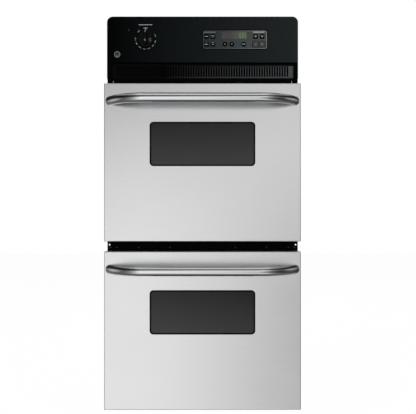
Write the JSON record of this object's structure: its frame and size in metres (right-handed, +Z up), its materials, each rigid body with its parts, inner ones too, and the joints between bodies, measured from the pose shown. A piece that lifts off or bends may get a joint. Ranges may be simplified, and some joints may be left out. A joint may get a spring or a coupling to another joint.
{
  "type": "wall oven",
  "caption": "Built-in double wall oven with drop-down stainless doors, bowed bar handles, small dark windows, and a black control panel with dial and key pad.",
  "frame": {"origin": "middle of the base's underside, where the oven rests in its cabinet", "axes": "+X to the cook's right, doors face -Y, +Z up"},
  "size_m": [0.603, 0.6894, 1.219],
  "materials": {
    "stainless": "satin",
    "handle_steel": "satin",
    "galvanised": "satin",
    "bright_steel": "satin",
    "spring_steel": "satin",
    "black_enamel": "gloss",
    "oven_enamel": "gloss",
    "glass_wool": "matte",
    "woven_gasket": "matte",
    "element_sheath": "matte",
    "lamp_glass": "gloss",
    "clear_glass": "gloss",
    "dark_glass": "gloss",
    "fascia_black": "gloss",
    "grille_black": "satin",
    "board_green": "satin",
    "bezel_grey": "satin",
    "display_dark": "gloss",
    "key_grey": "matte",
    "key_light": "matte",
    "knob_black": "satin",
    "motor_grey": "satin",
    "rotor_aluminium": "satin",
    "rack_chrome": "polished"
  },
  "bodies": {
    "chassis": {"side_panels": "galvanised", "back_panel": "galvanised", "top_panel": "galvanised", "deck_pans": "galvanised", "front_frame": "black_enamel", "oven_liners": "oven_enamel", "insulation_blankets": "glass_wool", "door_gaskets": "woven_gasket", "bake_elements": "element_sheath", "broil_elements": "element_sheath", "oven_lamps": "lamp_glass", "lamp_covers": "clear_glass", "temperature_probe": "bright_steel", "thermostat": "bright_steel", "control_panel": "fascia_black", "control_board": "board_green", "key_bezel": "bezel_grey", "display_lens": "display_dark", "vent_grille": "grille_black", "blower_housing": "galvanised", "blower_motor": "motor_grey", "latch_motor": "motor_grey", "hinge_arms": "bright_steel", "hinge_pins": "bright_steel", "frame_screws": "bright_steel"},
    "lower_door": {"lower_door_skin": "stainless", "lower_door_liner": "oven_enamel", "lower_door_insulation": "glass_wool", "lower_handle": "handle_steel", "lower_hinge_channels": "bright_steel", "lower_hinge_springs": "spring_steel", "lower_door_glass": "dark_glass", "lower_inner_glass": "clear_glass"},
    "upper_door": {"upper_door_skin": "stainless", "upper_door_liner": "oven_enamel", "upper_door_insulation": "glass_wool", "upper_handle": "handle_steel", "upper_hinge_channels": "bright_steel", "upper_hinge_springs": "spring_steel", "upper_door_glass": "dark_glass", "upper_inner_glass": "clear_glass"},
    "lower_rack_low": {"lower_rack_low": "rack_chrome"},
    "lower_rack_high": {"lower_rack_high": "rack_chrome"},
    "upper_rack_low": {"upper_rack_low": "rack_chrome"},
    "upper_rack_high": {"upper_rack_high": "rack_chrome"},
    "dial": {"dial_knob": "knob_black", "dial_shaft": "bright_steel"},
    "key_left_1": {"key_left_1": "key_grey"},
    "key_left_2": {"key_left_2": "key_grey"},
    "key_left_3": {"key_left_3": "key_grey"},
    "key_left_4": {"key_left_4": "key_grey"},
    "key_centre_1": {"key_centre_1": "key_grey"},
    "key_centre_2": {"key_centre_2": "key_grey"},
    "key_centre_3": {"key_centre_3": "key_grey"},
    "key_right_1": {"key_right_1": "key_grey"},
    "key_right_2": {"key_right_2": "key_grey"},
    "key_right_3": {"key_right_3": "key_light"},
    "key_right_4": {"key_right_4": "key_light"},
    "blower": {"blower_rotor": "rotor_aluminium"},
    "latch": {"latch_bolt": "bright_steel"}
  },
  "joints": [
    {"name": "lower_door_hinge", "type": "hinge", "parent": "chassis", "child": "lower_door", "pos_m": [0, -0.3046, 0.019], "axis": [1, 0, 0], "range_deg": [0, 90], "stiffness_Nm_per_rad": 10, "springref_deg": -25.78},
    {"name": "upper_door_hinge", "type": "hinge", "parent": "chassis", "child": "upper_door", "pos_m": [0, -0.3046, 0.535], "axis": [1, 0, 0], "range_deg": [0, 90], "stiffness_Nm_per_rad": 10, "springref_deg": -25.78},
    {"name": "lower_rack_low_slide", "type": "slide", "parent": "chassis", "child": "lower_rack_low", "axis": [0, -1, 0], "range_m": [0, 0.24]},
    {"name": "lower_rack_high_slide", "type": "slide", "parent": "chassis", "child": "lower_rack_high", "axis": [0, -1, 0], "range_m": [0, 0.24]},
    {"name": "upper_rack_low_slide", "type": "slide", "parent": "chassis", "child": "upper_rack_low", "axis": [0, -1, 0], "range_m": [0, 0.24]},
    {"name": "upper_rack_high_slide", "type": "slide", "parent": "chassis", "child": "upper_rack_high", "axis": [0, -1, 0], "range_m": [0, 0.24]},
    {"name": "dial_turn", "type": "hinge", "parent": "chassis", "child": "dial", "pos_m": [-0.177, -0.31, 1.149], "axis": [0, 1, 0], "range_deg": [0, 318]},
    {"name": "key_left_1_press", "type": "slide", "parent": "chassis", "child": "key_left_1", "axis": [0, 1, 0], "range_m": [0, 0.001], "stiffness_N_per_m": 600, "springref_m": -0.001},
    {"name": "key_left_2_press", "type": "slide", "parent": "chassis", "child": "key_left_2", "axis": [0, 1, 0], "range_m": [0, 0.001], "stiffness_N_per_m": 600, "springref_m": -0.001},
    {"name": "key_left_3_press", "type": "slide", "parent": "chassis", "child": "key_left_3", "axis": [0, 1, 0], "range_m": [0, 0.001], "stiffness_N_per_m": 600, "springref_m": -0.001},
    {"name": "key_left_4_press", "type": "slide", "parent": "chassis", "child": "key_left_4", "axis": [0, 1, 0], "range_m": [0, 0.001], "stiffness_N_per_m": 600, "springref_m": -0.001},
    {"name": "key_centre_1_press", "type": "slide", "parent": "chassis", "child": "key_centre_1", "axis": [0, 1, 0], "range_m": [0, 0.001], "stiffness_N_per_m": 600, "springref_m": -0.001},
    {"name": "key_centre_2_press", "type": "slide", "parent": "chassis", "child": "key_centre_2", "axis": [0, 1, 0], "range_m": [0, 0.001], "stiffness_N_per_m": 600, "springref_m": -0.001},
    {"name": "key_centre_3_press", "type": "slide", "parent": "chassis", "child": "key_centre_3", "axis": [0, 1, 0], "range_m": [0, 0.001], "stiffness_N_per_m": 600, "springref_m": -0.001},
    {"name": "key_right_1_press", "type": "slide", "parent": "chassis", "child": "key_right_1", "axis": [0, 1, 0], "range_m": [0, 0.001], "stiffness_N_per_m": 600, "springref_m": -0.001},
    {"name": "key_right_2_press", "type": "slide", "parent": "chassis", "child": "key_right_2", "axis": [0, 1, 0], "range_m": [0, 0.001], "stiffness_N_per_m": 600, "springref_m": -0.001},
    {"name": "key_right_3_press", "type": "slide", "parent": "chassis", "child": "key_right_3", "axis": [0, 1, 0], "range_m": [0, 0.001], "stiffness_N_per_m": 600, "springref_m": -0.001},
    {"name": "key_right_4_press", "type": "slide", "parent": "chassis", "child": "key_right_4", "axis": [0, 1, 0], "range_m": [0, 0.001], "stiffness_N_per_m": 600, "springref_m": -0.001},
    {"name": "blower_spin", "type": "hinge", "parent": "chassis", "child": "blower", "pos_m": [0, 0.06, 1.132], "axis": [1, 0, 0], "continuous": true},
    {"name": "latch_slide", "type": "slide", "parent": "chassis", "child": "latch", "axis": [1, 0, 0], "range_m": [0, 0.01]}
  ],
  "couplings": [
    {"joint": "lower_rack_low_slide", "follows": "lower_door_hinge", "m_per_rad": 0.1527},
    {"joint": "lower_rack_high_slide", "follows": "lower_door_hinge", "m_per_rad": 0.1527},
    {"joint": "upper_rack_low_slide", "follows": "upper_door_hinge", "m_per_rad": 0.1527},
    {"joint": "upper_rack_high_slide", "follows": "upper_door_hinge", "m_per_rad": 0.1527}
  ]
}
